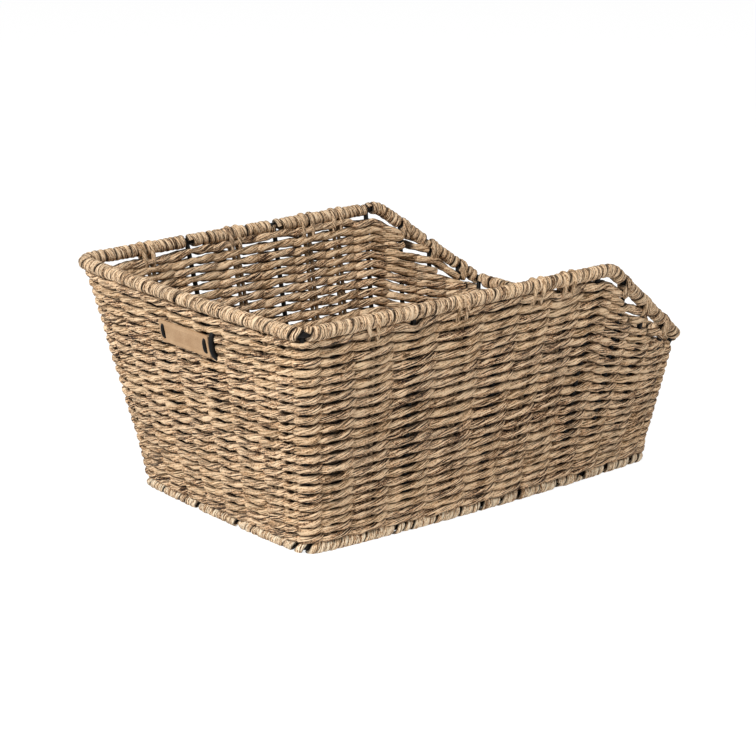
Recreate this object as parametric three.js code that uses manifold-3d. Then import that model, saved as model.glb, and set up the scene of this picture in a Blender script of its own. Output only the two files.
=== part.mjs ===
// Bicycle pannier basket: a steel wire frame woven with twined cord, with a lowered rim at the saddle end.
// Millimetres. +X runs along the basket to the low end, +Y across it, +Z up.
// The origin is on the ground, in the middle of the basket's outline.
import * as THREE from 'three';
import { mergeVertices } from 'three/addons/utils/BufferGeometryUtils.js';
import Module from 'manifold-3d';

const wasm = await Module();
wasm.setup();

// Wire frame, on the wires' centre lines
const BASE_LENGTH = 390;
const BASE_WIDTH = 232;
const BASE_SIDE_BOW = 8;
const BASE_END_BOW = 3;
const BASE_CORNER_RADIUS = 12;
const RIM_HEIGHT = 198;
const LOW_RIM_HEIGHT = 113;
const HIGH_END_LEAN = 37;
const LOW_END_LEAN = 21;
const SIDE_LEAN = 43;
const LOW_SIDE_LEAN = 19;
const RIM_END_BOW = 5;
const RIM_CORNER_RADIUS = 16;
const SLOPE_START = 105;
const SLOPE_BEND_RADIUS = 24;

// Wires, cords and what they are wrapped with
const RIM_WIRE_RADIUS = 3;
const BASE_WIRE_RADIUS = 2;
const STAKE_RADIUS = 2.25;
const FLOOR_WIRE_RADIUS = 1.5;
const RIM_WRAP_RADIUS = 6.2;
const BASE_WRAP_RADIUS = 4.5;
const WARP_CORD_RADIUS = 2;
const WARP_PAIR_SPACING = 5;

// Weave: rows of twined cord, thick at their middle and thin where two rows meet
const ROWS = 22;
const WALL_CREST = 6.2;
const WALL_VALLEY = 3.6;
const BAND = 4.9;
const LOW_BAND = 1.4;
const FLOOR_CREST = 3.8;
const FLOOR_VALLEY = 2.6;
const FLOOR_ROW_PITCH = 9;
const FLOOR_LIFT = 1;

// Places along a wall run from -1 at one corner to 1 at the other
const SIDE_WIRE_STAKES = [-0.517, -0.086, 0.397, 0.574, 0.729, 0.89];
const SIDE_CORD_PAIRS = [-0.711, -0.293, 0.078, 0.233];
const END_WIRE_STAKES = [-0.25, 0.25];
const HIGH_END_CORD_PAIRS = [-0.75, -0.5, 0, 0.5, 0.75];
const LOW_END_CORD_PAIRS = [-0.6, 0, 0.6];
const FLOOR_WIRE_STAKES = [0, 1, 2, 4].map((i) => SIDE_WIRE_STAKES[i]);
const WRAP_BREAK_STAKE = SIDE_WIRE_STAKES[2];

// Label plate on the high end
const LABEL_WIDTH = 70;
const LABEL_HEIGHT = 20;
const LABEL_THICKNESS = 2;
const LABEL_DROP = 31.5;
const LABEL_OFFSET = -9;
const LABEL_SLOT_INSET = 7;
const LABEL_SLOT_WIDTH = 3;
const LABEL_SLOT_HEIGHT = 12;
const TIE_PROUD = 0.6;

// Clearances: FIT between two pieces that touch, SEAT_TOLERANCE how closely an end is brought to it,
// WRAP_GAP where a wrap stops for a stake
const FIT = 0.3;
const SEAT_TOLERANCE = 0.001;
const WRAP_GAP = 5.5;

// Counts of facets, and the places on a long side where the outline has a point
const WIRE_SIDES = 6;
const WRAP_SIDES = 8;
const CORNER_STEPS = 4;
const BEND_STEPS = 3;
const SIDE_POINTS = [-0.5, 0, 0.75];

// A row's section: where its outer crest starts and ends, and its inner crest, in shares of its height
const OUTER_CREST = [0.3, 0.7];
const INNER_CREST = 0.5;

// A bow is a parabola, so halfway to the corner it still stands out by three quarters
const BOW_HALFWAY = 0.75;

// Values worked out from the sizes above
const halfBase = BASE_LENGTH / 2;
const halfBaseWidth = BASE_WIDTH / 2;
const highEnd = -(halfBase + HIGH_END_LEAN);
const lowEnd = halfBase + LOW_END_LEAN;
const highHalfWidth = halfBaseWidth + SIDE_LEAN;
const lowHalfWidth = halfBaseWidth + LOW_SIDE_LEAN;
const fullHeight = RIM_HEIGHT / LOW_RIM_HEIGHT;
const lowEndAtTop = halfBase + LOW_END_LEAN * fullHeight;
const lowHalfWidthAtTop = halfBaseWidth + LOW_SIDE_LEAN * fullHeight;
const baseZ = BASE_WRAP_RADIUS * Math.cos(Math.PI / WRAP_SIDES);
const rimZ = baseZ + RIM_HEIGHT;
const lowRimZ = baseZ + LOW_RIM_HEIGHT;
const centreShift = -(highEnd + lowEnd) / 2;
const weaveBottom = baseZ + BASE_WRAP_RADIUS + 2 * FIT;
const weaveTop = rimZ - RIM_WRAP_RADIUS - BAND;
const rowPitch = (weaveTop - weaveBottom) / ROWS;
const lowRows = Math.floor((lowRimZ - RIM_WRAP_RADIUS - LOW_BAND - weaveBottom) / rowPitch);
const lowWeaveTop = weaveBottom + lowRows * rowPitch;
const floorZ = FLOOR_LIFT + FLOOR_CREST;
const kink = SLOPE_START / -highEnd;
const sidePlaces = [...SIDE_POINTS, kink].sort((a, b) => a - b);

const materials = {
  blackWire: new THREE.MeshStandardMaterial({ color: 0x14171b, roughness: 0.45, metalness: 0.3 }),
  wovenCord: new THREE.MeshStandardMaterial({ color: 0xb3915f, roughness: 0.85, metalness: 0 }),
  wrapCord: new THREE.MeshStandardMaterial({ color: 0xbf9d6b, roughness: 0.8, metalness: 0 }),
  warpCord: new THREE.MeshStandardMaterial({ color: 0x8a6742, roughness: 0.85, metalness: 0 }),
  label: new THREE.MeshStandardMaterial({ color: 0xb58a55, roughness: 0.6, metalness: 0 }),
};

const basket = new THREE.Group();

function addMesh(name, geometry, material) {
  const mesh = new THREE.Mesh(geometry, material);
  mesh.name = name;
  basket.add(mesh);
  return mesh;
}

// Solids: closed meshes made from rings of points, joined and cut as exact bodies

function loft(rings, capContour, closed = false) {
  const count = rings[0].length;
  const positions = rings.flat().flatMap((point) => [point.x, point.y, point.z]);
  const index = [];
  const spans = closed ? rings.length : rings.length - 1;
  for (let i = 0; i < spans; i++) {
    const near = i * count;
    const far = ((i + 1) % rings.length) * count;
    for (let j = 0; j < count; j++) {
      const next = (j + 1) % count;
      index.push(near + j, far + next, near + next, near + j, far + j, far + next);
    }
  }
  if (!closed) {
    const last = (rings.length - 1) * count;
    for (const [a, b, c] of THREE.ShapeUtils.triangulateShape(capContour, [])) {
      index.push(a, b, c, last + c, last + b, last + a);
    }
  }
  const geometry = new THREE.BufferGeometry();
  geometry.setAttribute('position', new THREE.Float32BufferAttribute(positions, 3));
  geometry.setIndex(index);
  return geometry;
}

function toSolid(geometry) {
  const bare = geometry.clone();
  bare.deleteAttribute('normal');
  bare.deleteAttribute('uv');
  const merged = mergeVertices(bare, 1e-4);
  const mesh = new wasm.Mesh({
    numProp: 3,
    vertProperties: new Float32Array(merged.attributes.position.array),
    triVerts: new Uint32Array(merged.index.array),
  });
  return new wasm.Manifold(mesh);
}

function toGeometry(solid) {
  const mesh = solid.getMesh();
  const geometry = new THREE.BufferGeometry();
  geometry.setAttribute('position', new THREE.BufferAttribute(mesh.vertProperties, 3));
  geometry.setIndex(new THREE.BufferAttribute(mesh.triVerts, 1));
  geometry.computeVertexNormals();
  return geometry;
}

// A round section with a flat side down; bored = true puts the flats, not the corners, at the radius
function roundSection(radius, sides, bored = false) {
  const reach = bored ? radius / Math.cos(Math.PI / sides) : radius;
  return Array.from({ length: sides }, (_, k) => {
    const angle = -Math.PI / 2 + (Math.PI / sides) * (2 * k + 1);
    return new THREE.Vector2(reach * Math.cos(angle), reach * Math.sin(angle));
  });
}

// Two cords side by side as one flat section with round ends
function pairSection(radius, spacing) {
  const arc = (centre, start) => [0, 1, 2, 3].map((k) => {
    const angle = start + (Math.PI / 3) * k;
    return new THREE.Vector2(centre + radius * Math.cos(angle), radius * Math.sin(angle));
  });
  return [...arc(spacing / 2, -Math.PI / 2), ...arc(-spacing / 2, Math.PI / 2)];
}

// Carries a section along a path; its first axis points sideways, its second one up
function sweep(path, section, closed = false, up = new THREE.Vector3(0, 0, 1)) {
  const last = path.length - 1;
  const rings = path.map((point, i) => {
    const before = closed ? path[(i + last) % path.length] : path[Math.max(i - 1, 0)];
    const after = closed ? path[(i + 1) % path.length] : path[Math.min(i + 1, last)];
    const along = after.clone().sub(before).normalize();
    const side = along.clone().cross(up).normalize();
    const rise = side.clone().cross(along);
    return section.map((s) => point.clone().addScaledVector(side, s.x).addScaledVector(rise, s.y));
  });
  return loft(rings, section, closed);
}

// Rounds the corner of a line with an arc of the given radius
function fillet(before, corner, after, radius, steps) {
  const back = before.clone().sub(corner).normalize();
  const ahead = after.clone().sub(corner).normalize();
  const half = back.angleTo(ahead) / 2;
  const inward = back.clone().add(ahead).normalize();
  const centre = corner.clone().addScaledVector(inward, radius / Math.sin(half));
  const spoke = corner.clone().addScaledVector(back, radius / Math.tan(half)).sub(centre);
  const axis = ahead.clone().cross(back).normalize();
  const turn = Math.PI - 2 * half;
  return Array.from({ length: steps + 1 }, (_, k) =>
    spoke.clone().applyAxisAngle(axis, (turn * k) / steps).add(centre));
}

function mirrored(half) {
  const other = half.slice(1, -1).reverse().map((point) => new THREE.Vector3(point.x, -point.y, point.z));
  return [...half, ...other];
}

// Outline of the frame at one level, from the middle of the high end round the +Y side, then mirrored.
// inset moves every side inwards.
function levelOutline({ high, low, width, lowWidth, sideBow, endBow, radius, z, inset = 0 }) {
  const at = (x, y) => new THREE.Vector3(x + centreShift, y, z);
  const sideY = (t) => {
    const straight = t < kink ? width : THREE.MathUtils.mapLinear(t, kink, 1, width, lowWidth);
    return straight + sideBow * (1 - t * t) - inset;
  };
  const highX = -high + inset;
  const lowX = low - inset;
  const sideX = (t) => (t < 0 ? -t * highX : t * lowX);
  const corner = [at(highX, sideY(-1)), at(lowX, sideY(1))];
  const bowed = (end, reach) => at(end + Math.sign(end) * endBow * BOW_HALFWAY, reach / 2);
  const highBow = bowed(highX, sideY(-1));
  const lowBow = bowed(lowX, sideY(1));
  const side = sidePlaces.map((t) => at(sideX(t), sideY(t)));
  return mirrored([
    at(highX - endBow, 0),
    highBow,
    ...fillet(highBow, corner[0], side[0], radius - inset / 2, CORNER_STEPS),
    ...side,
    ...fillet(side[side.length - 1], corner[1], lowBow, radius - inset / 2, CORNER_STEPS),
    lowBow,
    at(lowX + endBow, 0),
  ]);
}

const baseShape = {
  high: halfBase,
  low: halfBase,
  width: halfBaseWidth,
  lowWidth: halfBaseWidth,
  sideBow: BASE_SIDE_BOW,
  endBow: BASE_END_BOW,
  radius: BASE_CORNER_RADIUS,
  z: baseZ,
};
const baseLoop = levelOutline(baseShape);
const topLoop = levelOutline({
  high: -highEnd,
  low: lowEndAtTop,
  width: highHalfWidth,
  lowWidth: lowHalfWidthAtTop,
  sideBow: 0,
  endBow: RIM_END_BOW,
  radius: RIM_CORNER_RADIUS,
  z: rimZ,
});

// Places in the loops: the middles of the corner arcs on the +Y side, and their mirror images
const highCorner = 2 + CORNER_STEPS / 2;
const lowCorner = highCorner + CORNER_STEPS + sidePlaces.length + 1;
const loopCount = baseLoop.length;

// The rim wire really drops at the low end, so it has a path of its own
const rimAt = (x, y, z) => new THREE.Vector3(x + centreShift, y, z);
const highBend = rimAt(SLOPE_START, highHalfWidth, rimZ);
const rimCorner = rimAt(highEnd, highHalfWidth, rimZ);
const dropCorner = rimAt(lowEnd, lowHalfWidth, lowRimZ);
const highMiddle = rimAt(highEnd - RIM_END_BOW * BOW_HALFWAY, highHalfWidth / 2, rimZ);
const lowMiddle = rimAt(lowEnd + RIM_END_BOW * BOW_HALFWAY, lowHalfWidth / 2, lowRimZ);
const breakPoint = rimAt(WRAP_BREAK_STAKE * -highEnd, highHalfWidth, rimZ);
const rimHalf = [
  rimAt(highEnd - RIM_END_BOW, 0, rimZ),
  highMiddle,
  ...fillet(highMiddle, rimCorner, highBend, RIM_CORNER_RADIUS, CORNER_STEPS),
  breakPoint,
  ...fillet(breakPoint, highBend, dropCorner, SLOPE_BEND_RADIUS, BEND_STEPS),
  ...fillet(highBend, dropCorner, lowMiddle, RIM_CORNER_RADIUS, CORNER_STEPS),
  lowMiddle,
  rimAt(lowEnd + RIM_END_BOW, 0, lowRimZ),
];
const rimLoop = mirrored(rimHalf);
const rimHighCorner = 2 + CORNER_STEPS / 2;
const rimBreak = 2 + CORNER_STEPS + 1;
const rimLowCorner = rimBreak + 1 + BEND_STEPS + 1 + CORNER_STEPS / 2;

addMesh('rim_wire', sweep(rimLoop, roundSection(RIM_WIRE_RADIUS, WIRE_SIDES), true), materials.blackWire);
addMesh('base_wire', sweep(baseLoop, roundSection(BASE_WIRE_RADIUS, WIRE_SIDES), true), materials.blackWire);

// Stakes stand in the middle of the walls, from the base wire to the rim wire

function pointOnLoop(loop, from, to, share, axis) {
  const steps = [];
  for (let i = from; i !== to; i = (i + 1) % loop.length) {
    steps.push([loop[i], loop[(i + 1) % loop.length]]);
  }
  const start = loop[from][axis];
  const wanted = start + (loop[to][axis] - start) * share;
  const [a, b] = steps.find(([p, q]) => (p[axis] - wanted) * (q[axis] - wanted) <= 0);
  return a.clone().lerp(b, (wanted - a[axis]) / (b[axis] - a[axis]));
}

function distanceToLoop(point, loop) {
  const line = new THREE.Line3();
  const foot = new THREE.Vector3();
  return Math.min(...loop.map((a, i) => {
    line.set(a, loop[(i + 1) % loop.length]).closestPointToPoint(point, true, foot);
    return foot.distanceTo(point);
  }));
}

// Moves an end of a stake along its line until its whole end face stands clear of the loop it meets
function seat(inside, outside, loop, reach, corners) {
  const low = inside.clone();
  const high = outside.clone();
  while (low.distanceTo(high) > SEAT_TOLERANCE) {
    const middle = low.clone().lerp(high, 0.5);
    const clear = corners.every((corner) => distanceToLoop(middle.clone().add(corner), loop) > reach);
    (clear ? low : high).copy(middle);
  }
  return low;
}

// The point of a stake's line nearest to the rim wire
function meetRim(base, top) {
  const steps = 2 * RIM_HEIGHT;
  const tries = Array.from({ length: steps + 1 }, (_, i) => base.clone().lerp(top, i / steps));
  const gaps = tries.map((point) => distanceToLoop(point, rimLoop));
  return tries[gaps.indexOf(Math.min(...gaps))];
}

// Outward direction, across the wall, for a stake on a wall that runs along the given direction
function frameOf(base, top, along) {
  const rise = top.clone().sub(base).normalize();
  const out = along.clone().cross(rise).normalize();
  return { rise, out, side: rise.clone().cross(out) };
}

// The same at a point of the outline, square to the line between its neighbours
function loopFrame(i) {
  const between = (loop) => loop[(i + loopCount - 1) % loopCount].clone().sub(loop[(i + 1) % loopCount]);
  return frameOf(baseLoop[i], topLoop[i], between(baseLoop).add(between(topLoop)));
}

const wireBores = [];
const cordBores = [];

function addStake({ name, base, top, along, section, bore, ends, material }) {
  const rimPoint = meetRim(base, top);
  const { out, side } = frameOf(base, top, along);
  const corners = section.map((s) =>
    side.clone().multiplyScalar(s.x).addScaledVector(out, s.y));
  const middle = base.clone().lerp(rimPoint, 0.5);
  const foot = seat(middle, base, baseLoop, ends.base + FIT, corners);
  const head = seat(middle, rimPoint, rimLoop, ends.rim + FIT, corners);
  addMesh(name, sweep([foot, head], section, false, out), material);
  return toSolid(sweep([base, rimPoint], bore, false, out));
}

function addWireStake(name, base, top, along) {
  wireBores.push(addStake({
    name,
    base,
    top,
    along,
    section: roundSection(STAKE_RADIUS, WIRE_SIDES),
    bore: roundSection(STAKE_RADIUS + FIT, WIRE_SIDES, true),
    ends: { base: BASE_WIRE_RADIUS, rim: RIM_WIRE_RADIUS },
    material: materials.blackWire,
  }));
}

function addCordPair(name, base, top, along) {
  cordBores.push(addStake({
    name,
    base,
    top,
    along,
    section: pairSection(WARP_CORD_RADIUS, WARP_PAIR_SPACING),
    bore: pairSection(WARP_CORD_RADIUS + FIT, WARP_PAIR_SPACING),
    ends: { base: BASE_WRAP_RADIUS, rim: RIM_WRAP_RADIUS },
    material: materials.warpCord,
  }));
}

const mirrorIndex = (i) => (loopCount - i) % loopCount;
const [highLeft, highRight] = [highCorner, mirrorIndex(highCorner)];
const [lowLeft, lowRight] = [lowCorner, mirrorIndex(lowCorner)];
const walls = {
  left: { from: highLeft, to: lowLeft, axis: 'x', along: new THREE.Vector3(-1, 0, 0) },
  right: { from: lowRight, to: highRight, axis: 'x', along: new THREE.Vector3(1, 0, 0) },
  high_end: { from: highRight, to: highLeft, axis: 'y', along: new THREE.Vector3(0, -1, 0) },
  low_end: { from: lowLeft, to: lowRight, axis: 'y', along: new THREE.Vector3(0, 1, 0) },
};

function stakeLine(wall, place) {
  const towardsLowEnd = wall === walls.right ? -place : place;
  const share = (towardsLowEnd + 1) / 2;
  return [baseLoop, topLoop].map((loop) => pointOnLoop(loop, wall.from, wall.to, share, wall.axis));
}

function addStakes(wallName, places, kind, addOne) {
  places.forEach((place, i) => {
    const wall = walls[wallName];
    addOne(`${kind}_${wallName}_${i + 1}`, ...stakeLine(wall, place), wall.along);
  });
}

for (const side of ['left', 'right']) {
  addStakes(side, SIDE_WIRE_STAKES, 'wire_stake', addWireStake);
  addStakes(side, SIDE_CORD_PAIRS, 'cord_pair', addCordPair);
}
for (const end of ['high_end', 'low_end']) {
  addStakes(end, END_WIRE_STAKES, 'wire_stake', addWireStake);
}
addStakes('high_end', HIGH_END_CORD_PAIRS, 'cord_pair', addCordPair);
addStakes('low_end', LOW_END_CORD_PAIRS, 'cord_pair', addCordPair);
const cornerStakes = { high_left: highLeft, high_right: highRight, low_left: lowLeft, low_right: lowRight };
for (const [corner, i] of Object.entries(cornerStakes)) {
  addWireStake(`corner_stake_${corner}`, baseLoop[i], topLoop[i], loopFrame(i).side);
}

// Floor wires cross the base between the long sides, in the middle of the floor's thickness
const floorWireBores = FLOOR_WIRE_STAKES.map((place, i) => {
  const [left] = stakeLine(walls.left, place);
  const ends = [left, new THREE.Vector3(left.x, -left.y, left.z)].map((point) => point.setZ(floorZ));
  const middle = new THREE.Vector3(left.x, 0, floorZ);
  const section = roundSection(FLOOR_WIRE_RADIUS, WIRE_SIDES);
  const corners = section.map((s) => new THREE.Vector3(s.x, 0, s.y));
  const seats = ends.map((end) => seat(middle, end, baseLoop, BASE_WIRE_RADIUS + FIT, corners));
  addMesh(`floor_wire_${i + 1}`, sweep(seats, section), materials.blackWire);
  return toSolid(sweep(ends, roundSection(FLOOR_WIRE_RADIUS + FIT, WIRE_SIDES, true)));
});

// Cord wrapped round the rim and base wires, in lengths that stop for the stakes at the corners

function stretch(loop, from, to) {
  const points = [];
  for (let i = from; i !== to; i = (i + 1) % loop.length) {
    points.push(loop[i].clone());
  }
  points.push(loop[to].clone());
  return points;
}

// Draws both ends of a stretch in by the same length
function drawnIn(points, by) {
  const last = points.length - 1;
  const pull = (end, next) => end.clone().add(next.clone().sub(end).setLength(by));
  return [pull(points[0], points[1]), ...points.slice(1, last), pull(points[last], points[last - 1])];
}

function addWrap(name, path, outer, inner, bores) {
  const bored = toSolid(sweep(path, roundSection(outer, WRAP_SIDES)))
    .subtract(toSolid(sweep(drawnIn(path, -FIT), roundSection(inner + FIT, WRAP_SIDES, true))));
  const solid = bores.reduce((rest, bore) => rest.subtract(bore), bored);
  addMesh(name, toGeometry(solid), materials.wrapCord);
}

const rimMirror = (i) => (rimLoop.length - i) % rimLoop.length;
const rimWraps = {
  rim_wrap_high_end: [rimMirror(rimHighCorner), rimHighCorner],
  rim_wrap_left: [rimHighCorner, rimBreak],
  rim_wrap_slope_left: [rimBreak, rimLowCorner],
  rim_wrap_low_end: [rimLowCorner, rimMirror(rimLowCorner)],
  rim_wrap_slope_right: [rimMirror(rimLowCorner), rimMirror(rimBreak)],
  rim_wrap_right: [rimMirror(rimBreak), rimMirror(rimHighCorner)],
};
for (const [name, [from, to]] of Object.entries(rimWraps)) {
  const path = drawnIn(stretch(rimLoop, from, to), WRAP_GAP / 2);
  addWrap(name, path, RIM_WRAP_RADIUS, RIM_WIRE_RADIUS, wireBores);
}
for (const [name, wall] of Object.entries(walls)) {
  const path = drawnIn(stretch(baseLoop, wall.from, wall.to), WRAP_GAP / 2);
  addWrap(`base_wrap_${name}`, path, BASE_WRAP_RADIUS, BASE_WIRE_RADIUS, [...wireBores, ...floorWireBores]);
}

// Woven walls: each row bulges on both faces, and the stakes pass up through the middle

function rowProfile(rows, pitch, crest, valley, bottom) {
  const outer = [];
  const inner = [];
  for (let row = 0; row < rows; row++) {
    const foot = bottom + row * pitch;
    outer.push(new THREE.Vector2(foot, valley));
    outer.push(new THREE.Vector2(foot + pitch * OUTER_CREST[0], crest));
    outer.push(new THREE.Vector2(foot + pitch * OUTER_CREST[1], crest));
    inner.push(new THREE.Vector2(foot, -valley));
    inner.push(new THREE.Vector2(foot + pitch * INNER_CREST, -crest));
  }
  const top = bottom + rows * pitch;
  return [...inner, new THREE.Vector2(top, -valley), new THREE.Vector2(top, valley), ...outer.reverse()];
}

function wallSolid(wall, rows) {
  const profile = rowProfile(rows, rowPitch, WALL_CREST, WALL_VALLEY, weaveBottom);
  const feet = drawnIn(stretch(baseLoop, wall.from, wall.to), FIT / 2);
  const heads = drawnIn(stretch(topLoop, wall.from, wall.to), FIT / 2);
  const rings = feet.map((foot, i) => {
    const { out } = loopFrame((wall.from + i) % loopCount);
    return profile.map((p) =>
      foot.clone().lerp(heads[i], (p.x - baseZ) / RIM_HEIGHT).addScaledVector(out, p.y));
  });
  return toSolid(loft(rings, profile));
}

// What is cut off above the rows on the long sides, along the slope and over the low end
function aboveSlope() {
  const drop = (rimZ - lowRimZ) / (lowEnd - SLOPE_START);
  const clearance = (RIM_WRAP_RADIUS + LOW_BAND) * Math.hypot(1, drop);
  const slopeX = (z) => SLOPE_START + (rimZ - clearance - z) / drop;
  const high = rimZ + RIM_WRAP_RADIUS;
  const beyond = lowEndAtTop * 2;
  const outline = new THREE.Shape([
    new THREE.Vector2(slopeX(high), high),
    new THREE.Vector2(slopeX(lowWeaveTop), lowWeaveTop),
    new THREE.Vector2(beyond, lowWeaveTop),
    new THREE.Vector2(beyond, high),
  ]);
  const depth = highHalfWidth * 3;
  const prism = new THREE.ExtrudeGeometry(outline, { depth, bevelEnabled: false });
  prism.rotateX(Math.PI / 2);
  prism.translate(centreShift, depth / 2, 0);
  return toSolid(prism);
}

const slopeCut = aboveSlope();
const allBores = [...wireBores, ...cordBores];
for (const [name, wall] of Object.entries(walls)) {
  const whole = wallSolid(wall, name === 'low_end' ? lowRows : ROWS);
  const cut = wall.axis === 'x' ? whole.subtract(slopeCut) : whole;
  const bored = allBores.reduce((rest, bore) => rest.subtract(bore), cut);
  addMesh(`weave_${name}`, toGeometry(bored), materials.wovenCord);
}

// Woven floor: rows along the basket, cut to the outline inside the base wrap
function floorSolid() {
  const inset = BASE_WRAP_RADIUS + FIT;
  const halfWidth = halfBaseWidth + BASE_SIDE_BOW;
  const rows = Math.ceil((2 * halfWidth) / FLOOR_ROW_PITCH);
  const profile = rowProfile(rows, FLOOR_ROW_PITCH, FLOOR_CREST, FLOOR_VALLEY, (-rows * FLOOR_ROW_PITCH) / 2);
  const depth = BASE_LENGTH * 1.2;
  const mat = new THREE.ExtrudeGeometry(new THREE.Shape(profile), { depth, bevelEnabled: false });
  mat.rotateX(Math.PI / 2);
  mat.rotateZ(Math.PI / 2);
  mat.translate(centreShift - depth / 2, 0, floorZ);
  const outline = levelOutline({ ...baseShape, inset }).map((p) => new THREE.Vector2(p.x, p.y));
  const reach = floorZ * 4;
  const plug = new THREE.ExtrudeGeometry(new THREE.Shape(outline), { depth: reach, bevelEnabled: false });
  plug.translate(0, 0, floorZ - reach / 2);
  const cut = toSolid(mat).intersect(toSolid(plug));
  return floorWireBores.reduce((rest, bore) => rest.subtract(bore), cut);
}
addMesh('weave_floor', toGeometry(floorSolid()), materials.wovenCord);

// Label plate: bare, on the outside of the high end, held by a tie through a slot at each end

const labelBox = new THREE.BoxGeometry(LABEL_THICKNESS, LABEL_WIDTH, LABEL_HEIGHT);
const slotAt = LABEL_WIDTH / 2 - LABEL_SLOT_INSET;
const slots = [-slotAt, slotAt].map((y) => {
  const box = new THREE.BoxGeometry(LABEL_THICKNESS * 3, LABEL_SLOT_WIDTH, LABEL_SLOT_HEIGHT);
  return toSolid(box.translate(0, y, 0));
});
const plate = slots.reduce((rest, slot) => rest.subtract(slot), toSolid(labelBox));
const endMiddle = topLoop[0].clone().lerp(baseLoop[0], LABEL_DROP / RIM_HEIGHT);
const endFrame = frameOf(baseLoop[0], topLoop[0], walls.high_end.along);
const lean = Math.atan2(-endFrame.rise.x, endFrame.rise.z);
const labelGroup = new THREE.Group();
labelGroup.position.copy(endMiddle).addScaledVector(endFrame.out, WALL_CREST + FIT + LABEL_THICKNESS / 2);
labelGroup.position.y += LABEL_OFFSET;
labelGroup.rotation.y = -lean;
basket.add(labelGroup);
const labelMesh = new THREE.Mesh(toGeometry(plate), materials.label);
labelMesh.name = 'label_plate';
labelGroup.add(labelMesh);
[-slotAt, slotAt].forEach((y, i) => {
  const size = [LABEL_THICKNESS + TIE_PROUD, LABEL_SLOT_WIDTH - 2 * FIT, LABEL_SLOT_HEIGHT - 2 * FIT];
  const tie = new THREE.Mesh(new THREE.BoxGeometry(...size), materials.blackWire);
  tie.name = `label_tie_${i + 1}`;
  tie.position.set(-TIE_PROUD / 2, y, 0);
  labelGroup.add(tie);
});

export default basket;
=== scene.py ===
"""Bicycle pannier basket: round black wires, cord wound on the rims and rows of twined cord between them.

Sizes are in millimetres in the frame's axes: +X to the low end, +Y across, +Z up. A piece's mesh is in metres.
"""
import math

import bmesh
import bpy
import numpy as np
from mathutils import Matrix, Vector


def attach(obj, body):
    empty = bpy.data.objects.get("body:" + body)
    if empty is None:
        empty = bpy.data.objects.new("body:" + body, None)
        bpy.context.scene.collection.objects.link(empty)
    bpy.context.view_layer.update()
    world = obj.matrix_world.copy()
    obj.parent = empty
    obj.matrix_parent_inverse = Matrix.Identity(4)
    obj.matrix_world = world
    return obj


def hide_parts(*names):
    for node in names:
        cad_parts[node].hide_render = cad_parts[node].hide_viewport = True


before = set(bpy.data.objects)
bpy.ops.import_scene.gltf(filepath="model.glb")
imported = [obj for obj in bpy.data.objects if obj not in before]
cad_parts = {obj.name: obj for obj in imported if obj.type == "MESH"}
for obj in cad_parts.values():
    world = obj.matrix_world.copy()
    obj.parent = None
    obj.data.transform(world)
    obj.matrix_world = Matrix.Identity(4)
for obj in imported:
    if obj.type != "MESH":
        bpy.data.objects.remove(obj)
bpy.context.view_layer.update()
MM = 0.001
TURN = 2 * math.pi

# Wire frame, on the wires' centre lines
BASE_LENGTH = 390
BASE_WIDTH = 232
BASE_SIDE_BOW = 8
BASE_END_BOW = 3
BASE_CORNER_RADIUS = 12
RIM_HEIGHT = 198
LOW_RIM_HEIGHT = 113
HIGH_END_LEAN = 37
LOW_END_LEAN = 21
SIDE_LEAN = 43
LOW_SIDE_LEAN = 19
RIM_END_BOW = 5
RIM_CORNER_RADIUS = 16
SLOPE_START = 105
SLOPE_BEND_RADIUS = 24
BASE_Z = 4.157
FLOOR_Z = 4.8
FLOOR_WEAVE_Z = 5.0
CENTRE_SHIFT = 8

RIM_WIRE_RADIUS = 3
BASE_WIRE_RADIUS = 2
STAKE_RADIUS = 2.25
FLOOR_WIRE_RADIUS = 1.5
BASE_WRAP_RADIUS = 4.5

# Rows of twined cord
ROWS = 22
FULL_ROWS = 15
WEAVE_BOTTOM = 9.257
ROW_PITCH = 8.38
LOW_ROW_PITCH = 6.5
PACKING_PLACES = [0.42, 0.574, 0.765, 1]
PACKED_PITCHES = [ROW_PITCH, 7.62, 6.9, LOW_ROW_PITCH]
ROW_SPREAD = 0.12
STRAND_RADIUS = 3.1
STRAND_DEPTH = 3.0
STRAND_RISE = 1.1
CROSSING = 0.75
# How much the strands are pinched at the stakes of each wall, from stake to stake, at the corners, and
# on the far side from a place near its slope
WALL_PINCH = {"far": 0.9, "near": 1.08, "high": 0.8, "low": 0.8}
PINCH_RANGE = (0.7, 1.3)
CORNER_PINCH = 0.35
SLOPE_PINCH = 0.3
SLOPE_PINCH_FROM = 0.35
# The weave pulls the corner stakes in: how far, over what length of the rows, and near the stakes' ends
CORNER_TUCK = 2.6
CORNER_TUCK_REACH = 24
STAKE_END_SHARE = 0.1
# How much less the strands swing at the corners
CORNER_CALM = 0.12

# How far below the rim wire the rows stay on the slope, and how far before it a row leaves its own level
SLOPE_CLEARANCE = 12.5
SLOPE_LEVEL_LEAD = 0.04
# Rows that end at the slope: the length over which a strand's swing dies away, and what is left of it
LOOSE_END = 16
LOOSE_HOLD = 0.35
# How far each of their two strands runs along each long side
SLOPE_ROWS = {
    22: {"far": (0.575, 0.575), "near": (0.56, 0.565)},
    21: {"far": (0.585, 0.727), "near": (0.565, 0.57)},
    20: {"far": (0.59, 0.727), "near": (0.735, 0.73)},
    19: {"far": (0.89, 0.9), "near": (0.76, 0.62)},
    18: {"far": (0.765, 0.77), "near": (0.78, 0.91)},
    17: {"far": (0.9, 0.985), "near": (0.985, 0.9)},
    16: {"far": (0.93, 0.95), "near": (0.95, 0.93)},
}
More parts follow.
